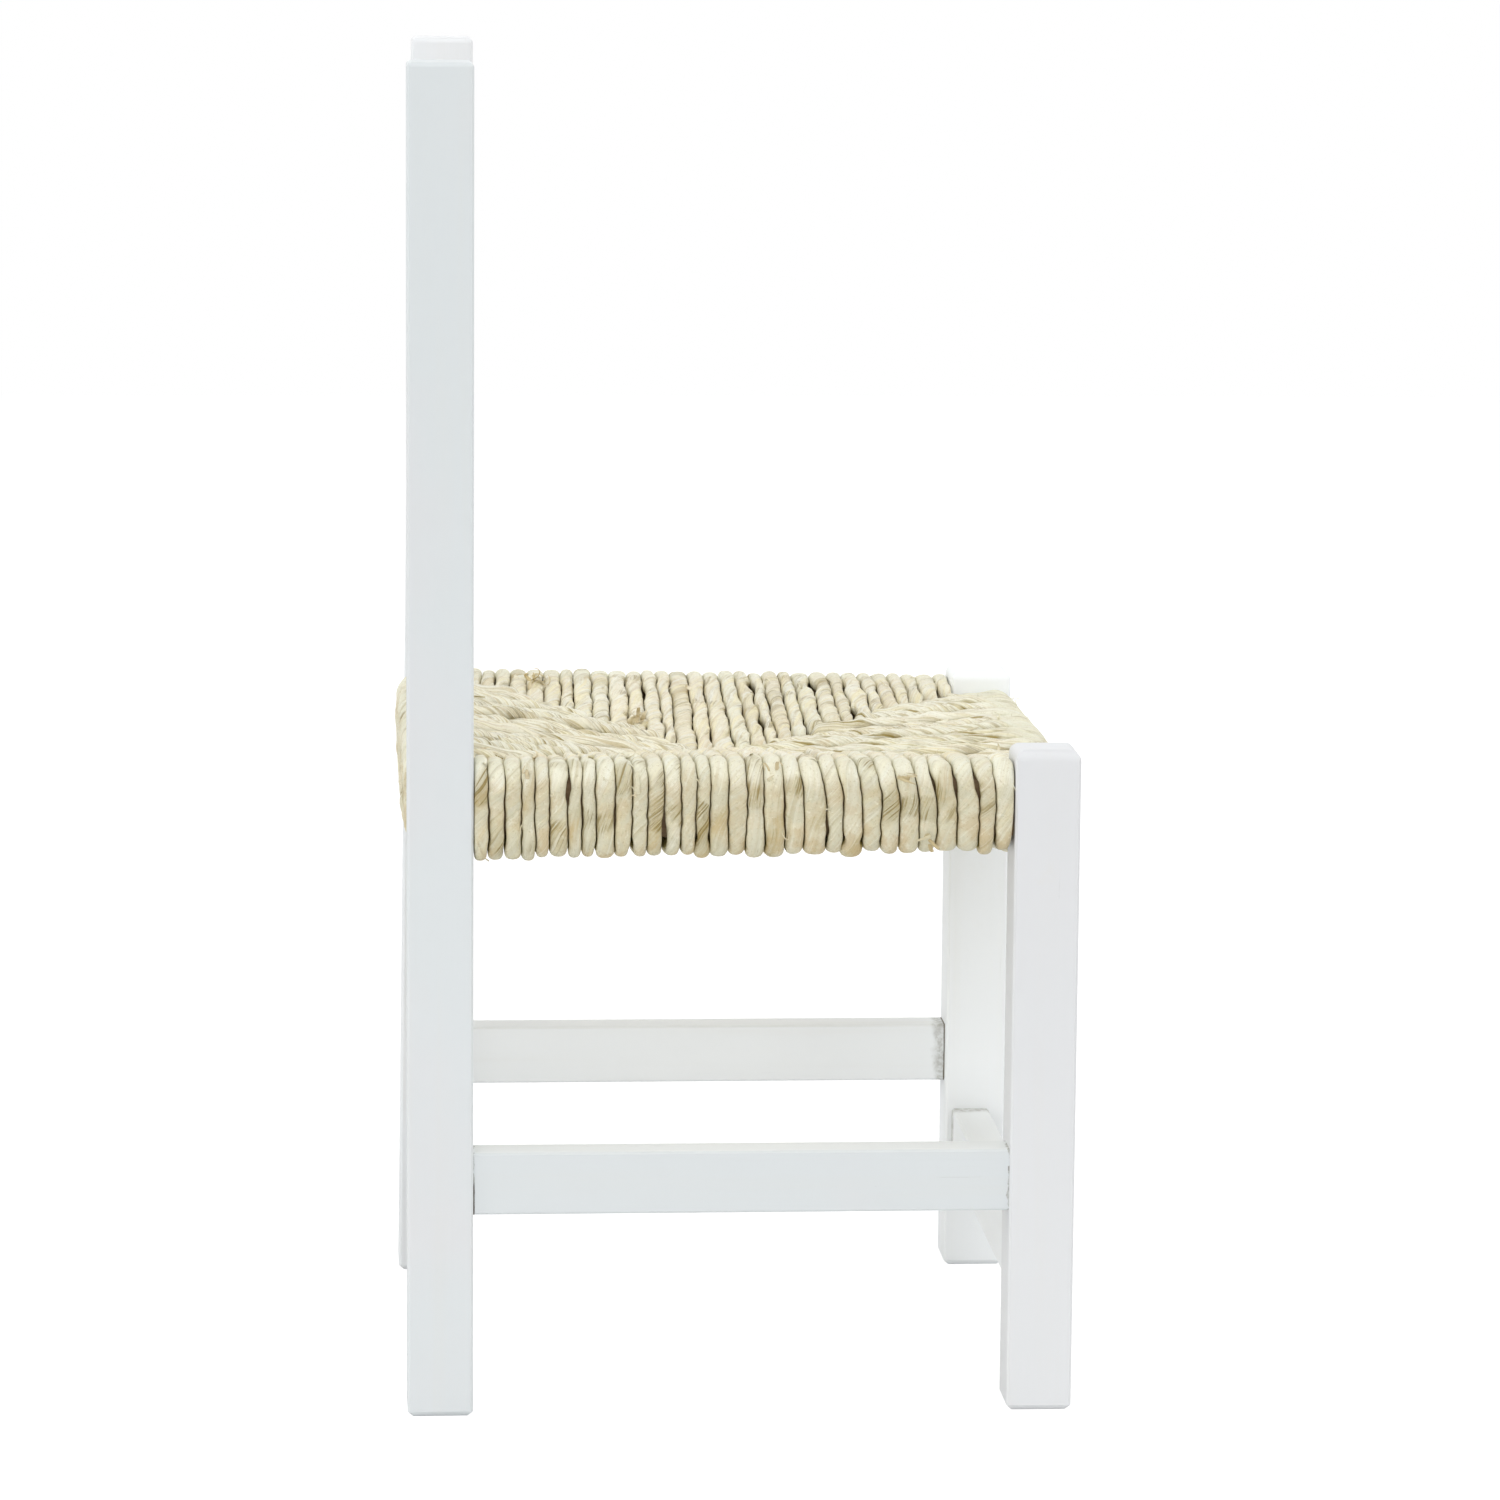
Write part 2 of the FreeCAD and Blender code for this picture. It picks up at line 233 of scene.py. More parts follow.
class Finish:
    """The nodes of a material or world under construction, all added by one method."""

    def __init__(self, owner):
        self.owner = owner
        owner.use_nodes = True
        self.tree = owner.node_tree
        self.tree.nodes.clear()

    def node(self, kind, settings, inputs, output=0):
        """Adds a node with its settings, then its inputs, and gives one of its outputs if it has any."""
        made = self.tree.nodes.new(kind)
        for name, setting in settings.items():
            setattr(made, name, setting)
        for name, value in inputs.items():
            if isinstance(value, Value):
                self.tree.links.new(value.socket, made.inputs[name])
            else:
                made.inputs[name].default_value = value
        return Value(self, made.outputs[output]) if len(made.outputs) else None

    def place(self):
        return self.node("ShaderNodeTexCoord", {}, {}, "Object")

    def scaled(self, place, scale):
        return self.node("ShaderNodeMapping", {}, {"Vector": place, "Scale": scale})

    def joined(self, first, second, third):
        return self.node("ShaderNodeCombineXYZ", {}, {0: first, 1: second, 2: third})

    def noise(self, place, scale, detail=2.0, roughness=0.5):
        inputs = {"Vector": place, "Scale": scale, "Detail": detail, "Roughness": roughness}
        return self.node("ShaderNodeTexNoise", {}, inputs)

    def chance(self, place):
        return self.node("ShaderNodeTexWhiteNoise", {}, {"Vector": place})

    def step(self, value, low, high):
        """0 below low, 1 above high and smooth between."""
        inputs = {"Value": value, "From Min": low, "From Max": high}
        return self.node("ShaderNodeMapRange", {"interpolation_type": "SMOOTHSTEP"}, inputs)

    def below(self, value, limit, depth):
        """0 above limit, 1 where value is below it by depth and smooth between."""
        return self.step(limit - value, 0.0, depth)

    def mix(self, share, first, second):
        """A colour that is first at a share of 0 and second at 1."""
        first = first if isinstance(first, Value) else (*first, 1.0)
        second = second if isinstance(second, Value) else (*second, 1.0)
        inputs = {0: share, 6: first, 7: second}
        return self.node("ShaderNodeMix", {"data_type": "RGBA"}, inputs, 2)

    def coats(self, colour, *coats):
        """A colour with others over it, laid on in order, each given as its share and itself."""
        for share, coat in coats:
            colour = self.mix(share, colour, coat)
        return colour

    def bump(self, height, distance, strength):
        inputs = {"Height": height, "Distance": distance, "Strength": strength}
        return self.node("ShaderNodeBump", {}, inputs)

    def end(self, shader, output="ShaderNodeOutputMaterial"):
        self.node(output, {}, {"Surface": shader})
        return self.owner

    def surface(self, **inputs):
        """Ends the material with a Principled shader."""
        named = {name.replace("_", " "): value for name, value in inputs.items()}
        return self.end(self.node("ShaderNodeBsdfPrincipled", {}, named))


def white_paint(name, along, painted_light, mauve=0.0, length=(0, 1), shoulders=(), top=0.0):
    """Brushed white paint on softwood whose grain runs along one axis.

    fresh is how much lighter white lies over the paint, from 0 to 1, at the low and at the high end of
    length. It is painted light:
    it makes pieces and parts that get less light whiter. mauve is how far the paint leans from blue to
    mauve. shoulders are the places on that axis where the piece meets a post, each with the height up to
    which its crack is unbroken and the width of the grime beside it. top is how much more lighter white the
    upper face gets, as painted light from above.
    """
    finish = Finish(bpy.data.materials.new(name))
    place = finish.place()
    grain = tuple(6.0 if axis == along else 260.0 for axis in (X, Y, Z))
    brush = tuple(3.0 if axis == along else 90.0 for axis in (X, Y, Z))
    fibres = finish.noise(finish.scaled(place, grain), 1.0, 4.0, 0.6)
    strokes = finish.noise(finish.scaled(place, brush), 1.0, 3.0, 0.55)
    cloud = finish.noise(place, 9.0, 3.0)
    spots = finish.noise(place, 34.0, 4.0, 0.65)
    flecks = finish.noise(place, 500.0, 2.0, 0.6)
    upward = finish.node("ShaderNodeNewGeometry", {}, {}, "Normal").parts()[Z]
    # Share of lighter white, which is painted light: it changes along the piece, and upper faces get more
    # of it
    painted_light_share = finish.step(place.parts()[along], *length) * (painted_light[1] - painted_light[0]) + painted_light[0]
    painted_light_share = painted_light_share + finish.step(upward, 0.6, 0.95) * top
    scratches = finish.step(fibres, 0.66, 0.74) * finish.step(spots, 0.50, 0.60)
    colour = finish.coats(
        PAINT,
        (finish.step(cloud + mauve, 0.35, 0.65), PAINT_MAUVE),
        (painted_light_share, PAINT_LIT_WHITE),
        (finish.step(strokes, 0.5, 0.85) * 0.12, PAINT_THIN),
        (finish.step(spots, 0.64, 0.80) * 0.12, PAINT_THIN),
        (finish.step(flecks, 0.79, 0.84) * 0.30, CREVICE),
        (scratches * 0.14, GRIME))
    if shoulders:
        colour = joint_marks(finish, colour, place, along, shoulders)
    height = fibres * 0.5 + strokes + finish.noise(place, 700.0, 2.0) * 0.12
    normal = finish.bump(height, PAINT_RELIEF, 0.5)
    return finish.surface(Base_Color=colour, Roughness=0.55 + strokes * 0.2, Normal=normal, IOR=PAINT_IOR)


def joint_marks(finish, colour, place, along, shoulders):
    """Adds the dark crack and the smudge where a painted piece meets each post."""
    ragged = finish.noise(place, 190.0, 3.0, 0.6)
    dots = finish.step(finish.noise(place, 330.0, 2.0), 0.55, 0.64) * 0.5
    mottled = finish.step(finish.noise(place, 420.0, 3.0, 0.6), 0.35, 0.65) * 0.35 + 0.22
    for shoulder, unbroken, width in shoulders:
        away = abs(place.parts()[along] - shoulder)
        line = 1 - finish.step(away - ragged * CRACK_WAVER, *CRACK_EDGE)
        whole = 1 - finish.step(place.parts()[Z], unbroken - CRACK_FADE, unbroken + CRACK_FADE)
        smudge = 1 - finish.step(away + (ragged - 0.5) * SMUDGE_WAVER, width * 0.35, width)
        colour = finish.coats(colour, (line * whole.larger(dots), CREVICE), (smudge * mottled, GRIME))
    return colour


def bare_wood(name, along):
    """Sawn wood without paint, as the rails inside the seat are."""
    finish = Finish(bpy.data.materials.new(name))
    grain = tuple(8.0 if axis == along else 240.0 for axis in (X, Y, Z))
    fibres = finish.noise(finish.scaled(finish.place(), grain), 1.0, 5.0, 0.6)
    colour = finish.mix(finish.step(fibres, 0.3, 0.7), WOOD_DARK, WOOD_LIGHT)
    normal = finish.bump(fibres, WOOD_RELIEF, 0.8)
    return finish.surface(Base_Color=colour, Roughness=0.85, Normal=normal)


def palm_leaf(name, seams):
    """Dried palm leaf twisted into cord: each turn has its own tone, and an edge and fibres along it.

    seams is how much darker the edge of the leaf is where the cord runs free of its rail. The pattern
    follows the strands' UV layers: wrap holds the turns of the leaf and a number of the strand's own, cord
    the distances round and along it, and run the distance along the run and how pinched or stained it is.
    """
    finish = Finish(bpy.data.materials.new(name))
    turns, strand, _ = finish.node("ShaderNodeUVMap", {"uv_map": "wrap"}, {}).parts()
    around, along, _ = finish.node("ShaderNodeUVMap", {"uv_map": "cord"}, {}).parts()
    distance, pinch, _ = finish.node("ShaderNodeUVMap", {"uv_map": "run"}, {}).parts()

    def twisted(across_scale, along_scale, strand_scale, detail, roughness):
        """Noise that follows the twist of the leaf."""
        place = finish.joined(turns * across_scale, along * along_scale, strand * strand_scale)
        return finish.noise(place, 1.0, detail, roughness)

    turn = turns.floor()
    across = turns.fraction()
    skin = finish.joined(around, along, strand * 5.0)
    tone = finish.chance(finish.joined(turn, strand * 57.0, 3.0))
    other_tone = finish.chance(finish.joined(turn, strand * 31.0, 8.0))
    strand_tone = finish.chance(finish.joined(strand * 91.0, 2.0, 5.0))
    strand_age = finish.chance(finish.joined(strand * 83.0, 7.0, 1.0))
    fibres = twisted(19.0, 40.0, 40.0, 4.0, 0.65)
    wrinkles = twisted(4.5, 230.0, 23.0, 3.0, 0.6)
    folds = twisted(17.0, 45.0, 61.0, 3.0, 0.6)
    streaks = twisted(9.0, 30.0, 17.0, 2.0, 0.6)
    threads = twisted(24.0, 20.0, 13.0, 2.0, 0.5)
    hue = twisted(7.0, 22.0, 71.0, 2.0, 0.6)
    blotches = finish.noise(skin, 80.0, 4.0, 0.65)
    mottle = finish.noise(skin, 430.0, 3.0, 0.6)
    grain = finish.noise(skin, 1100.0, 2.0, 0.6)
    ends = finish.noise(skin, 52.0, 2.0)

    stained = finish.step(pinch + (blotches - 0.5) * 0.6 + (fibres - 0.5) * 0.7, 0.16, 0.46)
    crumples = finish.step(finish.noise(skin, 46.0, 1.0) + pinch * 0.3, 0.56, 0.66)
    creased = crumples * finish.step(folds, 0.50, 0.62)
    lapped = finish.step(across, 0.0, 0.05 + ends * 0.05)
    rounded = across * (1 - across) * 4
    seam = 1 - finish.step(across, 0.01, 0.05 + mottle * 0.10)
    edge = seam * finish.step(ends, 0.42, 0.60)
    side = abs(around) * (2 / GIRTH)
    uneven = distance + (strand_tone - 0.5) * (8 * MM) + (streaks - 0.5) * (12 * MM)
    # The outer face of a strand, from below its top over the rail down to the bend underneath
    outer_face = finish.step(uneven, *OUTER_FACE_FROM) * (1 - finish.step(distance, *OUTER_FACE_TO))
    free = finish.step(abs(distance), *FREE_LOOK_AWAY)
    shoulder = finish.step(-distance, *SHOULDER_OVER)
    low_face = finish.step(distance, *LOW_FACE_UNDER)
    # The sides of a strand, which are painted dark as shade in the gap to its neighbours
    side_shade = finish.step(side, 0.36 + free * 0.10, 0.58 + free * 0.12)
    specks = finish.step(side, 0.24, 0.42) * finish.step(mottle, 0.57, 0.65)

    colour = finish.coats(
        LEAF_CREAM,
        (finish.step(tone, 0.0, 1.0) * 0.8, LEAF_PALE),
        (finish.step(strand_tone, 0.30, 1.0) * 0.6, LEAF_GREEN),
        (finish.step(strand_age, 0.55, 1.0) * 0.38, LEAF_TAN),
        (finish.step(other_tone, 0.80, 0.96) * 0.45, LEAF_TAN),
        (finish.step(blotches, 0.54, 0.72) * 0.65, LEAF_TAN),
        (finish.step(fibres, 0.48, 0.68) * 0.55, LEAF_TAN),
        (finish.step(streaks, 0.50, 0.72) * 0.40, LEAF_TAN),
        (finish.step(wrinkles, 0.55, 0.72) * (0.15 + free * 0.30), LEAF_TAN),
        (finish.step(hue, 0.50, 0.66) * (0.50 + free * 0.25), LEAF_YELLOW),
        (finish.below(hue, 0.47, 0.14) * (0.50 + free * 0.15), LEAF_GREY),
        (shoulder * (0.50 - free * 0.45), LEAF_TOP),
        # The outer face is painted darker than the top: painted shade. The rust and cool tones laid on it
        # are the leaf's own
        (outer_face * (0.66 - seams * 0.40), LEAF_FACE_SHADE),
        (outer_face * finish.step(blotches, 0.49, 0.60) * (0.28 + low_face * 0.24), LEAF_RUST),
        (outer_face * finish.below(blotches, 0.49, 0.08) * 0.42, LEAF_COOL),
        (crumples * (0.26 - free * 0.14), LEAF_BROWN),
        (finish.step(mottle, 0.62, 0.74) * 0.32, LEAF_BROWN),
        (finish.below(fibres, 0.45, 0.14) * (0.28 + free * 0.22), LEAF_PALE),
        (finish.below(mottle, 0.45, 0.20) * 0.35, LEAF_PALE),
        (finish.step(grain, 0.58, 0.72) * 0.30, LEAF_BROWN),
        (finish.step(pinch, 0.04, 0.13) * 0.25, LEAF_BROWN),
        (finish.step(threads, 0.51, 0.62) * free * (seams * 0.44), LEAF_BROWN),
        (finish.below(threads, 0.52, 0.10) * free * (seams * 0.80), LEAF_PALE),
        (stained * 0.55, LEAF_STAIN),
        (edge * (0.25 + free * seams), LEAF_BROWN),
        # Painted shade on the strand's sides, less on the top over the rail
        (side_shade * (0.85 - shoulder * 0.55 + free * 0.10), LEAF_SIDE_SHADE),
        (specks * outer_face * 0.60, LEAF_DARK),
        (creased * (0.75 - free * 0.25), LEAF_DARK))
    height = lapped * 0.7 + (rounded + streaks) * (0.5 + free * (0.2 + seams)) + fibres * 1.2
    height = height + wrinkles * (0.6 + free * 1.2) + mottle * 0.7 + grain * 0.3 + crumples * folds * 2.0
    normal = finish.bump(height, LEAF_RELIEF, 1.0)
    return finish.surface(Base_Color=colour, Roughness=0.60 + fibres * 0.2, Normal=normal, IOR=LEAF_IOR)


class Wander:
    """A smooth value of about -1 to 1 that changes along a cord."""

    def __init__(self, random, shortest, longest):
        self.waves = random.uniform(shortest, longest, 4)
        self.starts = random.uniform(0, TURN, 4)

    def at(self, distance):
        return np.sin(distance[:, None] / self.waves * TURN + self.starts).sum(axis=1) / 2


def smooth(value, low, high):
    """0 below low, 1 above high and smooth between."""
    part = np.clip((value - low) / (high - low), 0, 1)
    return part * part * (3 - 2 * part)


class Run:
    """The middle line of a cord round its rail, in a plane square to the rail.

    reach is the way in from the seat's outer face and height is above the floor. distance runs along the
    line from the middle of the outer face, below zero over the top and above zero underneath.
    """

    def __init__(self, low, high, corner, rail_inner, deepest, lowered):
        top = high - CORD_RADIUS - lowered
        under = low + CORD_RADIUS - lowered
        turn = np.linspace(0, math.pi / 2, BEND_POINTS)
        bend_reach = CORD_RADIUS + corner * (1 - np.sin(turn))
        bend_drop = corner * (1 - np.cos(turn))
        flat = np.linspace(deepest + OVERLAP + MM, CORD_RADIUS + corner, FLAT_POINTS)[:-1]
        past = flat - rail_inner
        bent = np.where(past > SAG_BEND, past, np.clip(past + SAG_BEND, 0, None) ** 2 / (4 * SAG_BEND))
        slope = bent / (deepest - rail_inner)
        self.flat = flat
        self.reach = np.concatenate([flat, bend_reach, bend_reach[::-1], flat[::-1]])
        top_line = np.concatenate([top - (TOP_SAG - lowered) * slope, top - bend_drop])
        under_line = np.concatenate([under + (UNDERSIDE_RISE + lowered) * slope, under + bend_drop])
        self.height = np.concatenate([top_line, under_line[::-1]])
        steps = np.hypot(np.diff(self.reach), np.diff(self.height))
        distance = np.concatenate([[0], np.cumsum(steps)])
        half = len(top_line)
        self.distance = distance - (distance[half - 1] + distance[half]) / 2

    def place(self, distance):
        reach = np.interp(distance, self.distance, self.reach)
        return np.array([reach, np.interp(distance, self.distance, self.height)])

    def outward(self, distance):
        """The unit way out of the winding, square to the line."""
        run = self.place(distance + 0.4 * MM) - self.place(distance - 0.4 * MM)
        run /= np.hypot(*run)
        return np.array([run[1], -run[0]])

    def ends(self, reach):
        """The distances at which the line is this far in, over the top and underneath."""
        count = len(self.flat)
        over = np.interp(-reach, -self.flat, self.distance[:count])
        under = np.interp(reach, self.flat[::-1], self.distance[-count:])
        return over, under


def freedom(distance):
    """0 where a strand is pulled flat over its rail, 1 where it runs free across the seat."""
    return smooth(np.abs(distance), *FREE_AWAY)


class Boundary:
    """The wavy line between two neighbouring strands, and the gap that opens along it."""

    def __init__(self, random, place, wavy, gap, skew, loose, hook):
        self.place = place
        self.wavy = wavy
        self.gap = gap
        self.skew = skew
        self.loose = loose
        self.hook = hook
        self.bend = Wander(random, 20 * MM, 70 * MM)
        self.ripple = Wander(random, 5 * MM, 14 * MM)
        self.opening = Wander(random, 30 * MM, 90 * MM)

    def side(self, distance, sign):
        """Where the strand after the line (sign 1) or before it (sign -1) begins or ends along the rail."""
        free = freedom(distance)
        bend = ((0.26 + 0.14 * free) * self.bend.at(distance)
                + (0.16 + 0.06 * free) * self.ripple.at(distance))
        pressed = (1 - 0.85 * smooth(-distance, *PRESSED_OVER) * (1 - free)
                   - 0.8 * smooth(distance, *PRESSED_UNDER))
        opening = np.clip(self.opening.at(distance) - 0.35, 0, None) * self.gap * pressed
        leaning = self.skew * np.clip(-distance - LEANING_OVER, 0, None)
        loose = self.loose * smooth(distance, *LOOSE_FROM)
        hooked = self.hook * smooth(-distance, *HOOKED_OVER)
        middle = self.place + self.wavy * bend * MM + leaning + loose - hooked
        return middle + sign * (opening / 2 + self.wavy * 0.16 * MM * pressed)


def boundaries(random, panel):
    """The lines between the strands of one side, from post to post."""
    numbers = np.arange(panel.count)
    widening = 2 * smooth(numbers, 0.45 * panel.count, 0.65 * panel.count) - 1
    widths = random.uniform(0.82, 1.20, panel.count) * (1 + panel.trend * widening)
    shares = np.concatenate([[0], np.cumsum(widths / widths.sum())])
    places = POST_GAP + shares * (panel.length - panel.setback - 2 * POST_GAP)
    lines = []
    for number, (share, place) in enumerate(zip(shares, places)):
        skew = np.interp(share, (0, 1), panel.skew) + random.uniform(-0.012, 0.012)
        loose = -panel.loose if number == panel.count else 0
        gap = panel.gap[0] if random.random() < NARROWER_SHARE else panel.gap[1]
        gap += panel.spread * smooth(share, 0.60, 0.72)
        hook = panel.hook * smooth(share, 0.50, 0.70) * smooth(-share, -0.99, -0.93)
        at_post = number in (0, panel.count)
        wavy, skew, hook = (0, 0, 0) if at_post else (1, skew, hook)
        lines.append(Boundary(random, place, wavy, gap, skew, loose, hook))
    return lines


def creases(random, distance, angle, ends):
    """Rings and folds where the leaf was pinched in twisting."""
    total = np.zeros((len(distance), len(angle)))
    for place in np.arange(*ends, CREASE_STEP):
        middle = place + random.uniform(-4, 4) * MM
        tilt = random.uniform(-0.2, 1.8) * CORD_RADIUS
        depth = max(random.uniform(-0.06, 0.07), 0)
        length = random.uniform(0.9, 1.8) * MM
        away = (distance[:, None] - middle - tilt * np.sin(angle)[None, :]) / length
        total += depth * np.exp(-away * away)
    return total * (0.35 + 0.65 * freedom(distance))[:, None]


def standing_off(random, panel, centre, distance, to_end):
    """How far a strand stands off its run: slack underneath, heaved over the top, drawn in at its ends."""
    rough = panel.rough
    hang = np.interp(centre, (0, 0.8 * panel.length), panel.hang)
    slack = (min(random.exponential(0.6), 1.8) * MM + hang) * smooth(distance, *SLACK_UNDER)
    heave = random.uniform(-0.9 - 2.1 * rough, 0.6 + 1.2 * rough) * MM * smooth(-distance, *HEAVE_OVER)
    waves = (0.3 + 0.5 * rough * freedom(distance)) * MM * Wander(random, 16 * MM, 60 * MM).at(distance)
    dive = DIVE * (1 - smooth(to_end, 0, DIVE_LENGTH))
    return panel.bulge + slack + heave - 0.2 * MM + waves - dive


def cross_section(random, distance, angle):
    """A strand's width and depth round its rings, squarer where it is pulled flat over its rail."""
    squareness = random.uniform(3.0, 4.2), random.uniform(2.3, 2.7), random.uniform(2.2, 2.6)
    power = 2 / np.interp(np.abs(distance), SQUARE_AWAY, squareness)[:, None]
    return [np.sign(wave) * np.abs(wave) ** power for wave in (np.sin(angle), np.cos(angle))]


def knots_and_stains(panel, number, distance, slanted, stain):
    """How much a strand's knots swell it, and its stain with those of its knots and spots added."""
    swell = np.zeros(len(distance))
    for knot in panel.marks(panel.knots, number):
        swell += 0.42 * np.exp(-((distance - knot) / (3.6 * MM)) ** 2)
        swell -= 0.20 * np.exp(-((distance - knot + 7 * MM) / (2 * MM)) ** 2)
        stain = stain + 0.45 * np.exp(-((slanted - knot) / (5 * MM)) ** 2)
    for spot in panel.marks(panel.stains, number):
        stain = stain + 0.30 * np.exp(-((slanted - spot) / (6 * MM)) ** 2)
    return swell, stain


def strand(random, run, ends, low_side, high_side, panel, centre, number):
    """Rings of points round one strand as (along the rail, reach, height), with the layers of its leaf."""
    count = int((ends[1] - ends[0]) / RING_STEP)
    distance = np.linspace(*ends, count)
    angle = np.linspace(-math.pi, math.pi, RING_POINTS + 1)
    low = low_side.side(distance, 1)
    high = high_side.side(distance, -1)
    to_end = np.minimum(distance - ends[0], ends[1] - distance)
    tip = np.sqrt(np.clip(to_end / TIP_LENGTH, 0.02, 1))
    rough = panel.rough
    free = freedom(distance)[:, None]
    lift = standing_off(random, panel, centre, distance, to_end)
    sine, cosine = cross_section(random, distance, angle)

    half_width = (high - low) / 2 * tip
    flat_steps = np.hypot(np.diff(half_width[:, None] * sine), np.diff(CORD_RADIUS * cosine))
    share = np.concatenate([np.zeros((count, 1)), np.cumsum(flat_steps, axis=1)], axis=1)
    share = share / share[:, -1:] - 0.5
    lay = random.uniform(16, 26) * MM if random.random() < 0.45 else random.uniform(36, 80) * MM
    drift = 0.06 * Wander(random, 30 * MM, 70 * MM).at(distance)
    phase = random.uniform(0, 50) + share + (distance / lay + drift)[:, None]
    lobes = (0.02 + 0.05 * free) * np.sin(phase * TURN)
    lobes = lobes + (0.015 + (0.045 + 0.095 * rough) * free) * np.sin(phase * 2 * TURN)
    pinch = creases(random, distance, angle, ends)
    girth = 1 + lobes - pinch

    slanted = distance[:, None] + share * 26 * MM
    swell, stain = knots_and_stains(panel, number, distance, slanted, pinch)
    half_width = half_width * (1 + swell)
    half_depth = CORD_RADIUS * (1 + 0.06 * Wander(random, 9 * MM, 34 * MM).at(distance) + swell) * tip
    sideways = ((low + high) / 2)[:, None] + half_width[:, None] * sine * np.minimum(girth, 1.0)
    out = lift[:, None] + half_depth[:, None] * cosine * girth
    reach, height = run.place(distance)
    out_reach, out_height = run.outward(distance)
    points = np.stack([sideways, reach[:, None] + out_reach[:, None] * out,
                       height[:, None] + out_height[:, None] * out], axis=2)
    around = share * GIRTH
    along = np.broadcast_to((distance + number * 0.37)[:, None], phase.shape)
    strand_value = np.full(phase.shape, (number * 0.618034) % 1)
    far = np.broadcast_to(distance[:, None], phase.shape)
    layers = {"cord": (around, along), "wrap": (phase, strand_value), "run": (far, stain)}
    return points[:, :-1], {name: np.stack(pair, 2) for name, pair in layers.items()}


def surface_at(points, row, column):
    """A point of a strand's surface between its rings, and the way out of the strand there."""
    ring = int(min(max(row, 0), len(points) - 2))
    share = row - ring
    rings = points[ring] * (1 - share) + points[ring + 1] * share
    first = int(math.floor(column)) % RING_POINTS
    part = column - math.floor(column)
    place = rings[first] * (1 - part) + rings[(first + 1) % RING_POINTS] * part
    out = place - rings.mean(axis=0)
    return place, out / np.linalg.norm(out)


def leaf_end(strand_points, strand_layers, row, angle, length, width, lift, skew, curled, age=0):
    """A loose end of leaf that lies on a strand and lifts off it, as rings of a flat tube with its layers.

    It starts at a row of the strand's rings, and at an angle round them from the outside. curled is the
    angle through which it is rolled up, and age is how brown it is.
    """
    share = np.linspace(0, 1, END_RINGS)
    advance = length * np.sin(curled * share) / curled
    rows = row + advance * math.cos(skew) / RING_STEP
    columns = (angle / TURN + 0.5) * RING_POINTS + advance * math.sin(skew) / GIRTH * RING_POINTS
    spots = [surface_at(strand_points, *spot) for spot in zip(rows, columns)]
    out = np.array([spot[1] for spot in spots])
    rise = -0.12 * MM + smooth(share, 0, 0.25) * 0.25 * MM + lift * share ** 2.2
    rise += length * (1 - np.cos(curled * share)) / curled
    base = np.array([spot[0] for spot in spots])
    across = np.cross(out[0], base[1] - base[0])
    across = np.broadcast_to(across / np.linalg.norm(across), base.shape)
    place = base + out * rise[:, None]
    ahead = np.gradient(place, axis=0)
    out = np.cross(ahead, across)
    out /= np.linalg.norm(out, axis=1)[:, None]
    half = width / 2 * (1 - 0.85 * share ** 3)
    turn = np.linspace(-math.pi, math.pi, RING_POINTS + 1)
    sine, cosine = np.sin(turn[:-1]), np.cos(turn[:-1])
    curl = 0.5 * lift * share[:, None] * sine[None, :] ** 2 + 0.13 * MM * cosine[None, :]
    points = (place[:, None] + across[:, None] * (half[:, None] * sine)[..., None]
              + out[:, None] * curl[..., None])
    start = int(min(max(row, 0), len(strand_points) - 1))
    layers = {}
    for name, values in strand_layers.items():
        here = values[start, RING_POINTS // 2].copy()
        if name == "wrap":
            here[0] = math.floor(here[0]) + 0.35
        layers[name] = np.zeros((END_RINGS, RING_POINTS + 1, 2)) + here
    layers["cord"][..., 0] = np.sin(turn)[None, :] * half[:, None]
    layers["cord"][..., 1] += (share * length)[:, None]
    layers["run"][..., 1] = age
    return points, layers


def leaf_ends(random, points, layers, ends, curls, last):
    """The curls, loose ends and fibres of one strand. No end or fibre starts past the distance last."""
    pieces = []
    for curl in curls:
        for _ in range(3):
            row = (curl + random.uniform(-2, 2) * MM - ends[0]) / RING_STEP
            length, width = random.uniform(5, 9) * MM, random.uniform(1.0, 2.2) * MM
            skew, curled = random.uniform(0, TURN), random.uniform(2.5, 4.5)
            angle, age = random.uniform(-0.5, 0.5), random.uniform(0.25, 0.70)
            pieces.append(leaf_end(points, layers, row, angle, length, width, 0, skew, curled, age))
    for _ in range(random.poisson(0.9)):
        distance = random.uniform(max(ends[0] + END_MARGIN, -60 * MM), min(ends[1] - END_MARGIN, last))
        row = (distance - ends[0]) / RING_STEP
        angle = random.uniform(-1.1, 0.9)
        kind = random.random()
        curled = 0.2
        if kind < 0.30:
            length, width = random.uniform(4, 8) * MM, random.uniform(1.2, 3.0) * MM
            lift = random.uniform(0.3, 1.3) * MM
        elif kind < 0.65:
            length, width = random.uniform(3.5, 6.5) * MM, random.uniform(0.8, 2.0) * MM
            lift, curled = 0, random.uniform(2.2, 4.2)
        else:
            length, width = random.uniform(4, 9) * MM, random.uniform(0.3, 0.7) * MM
            lift = random.uniform(0.4, 1.4) * MM
        skew = random.uniform(-0.2, 1.1) + (math.pi if random.random() < 0.5 else 0)
        pieces.append(leaf_end(points, layers, row, angle, length, width, lift, skew, curled))
    return pieces


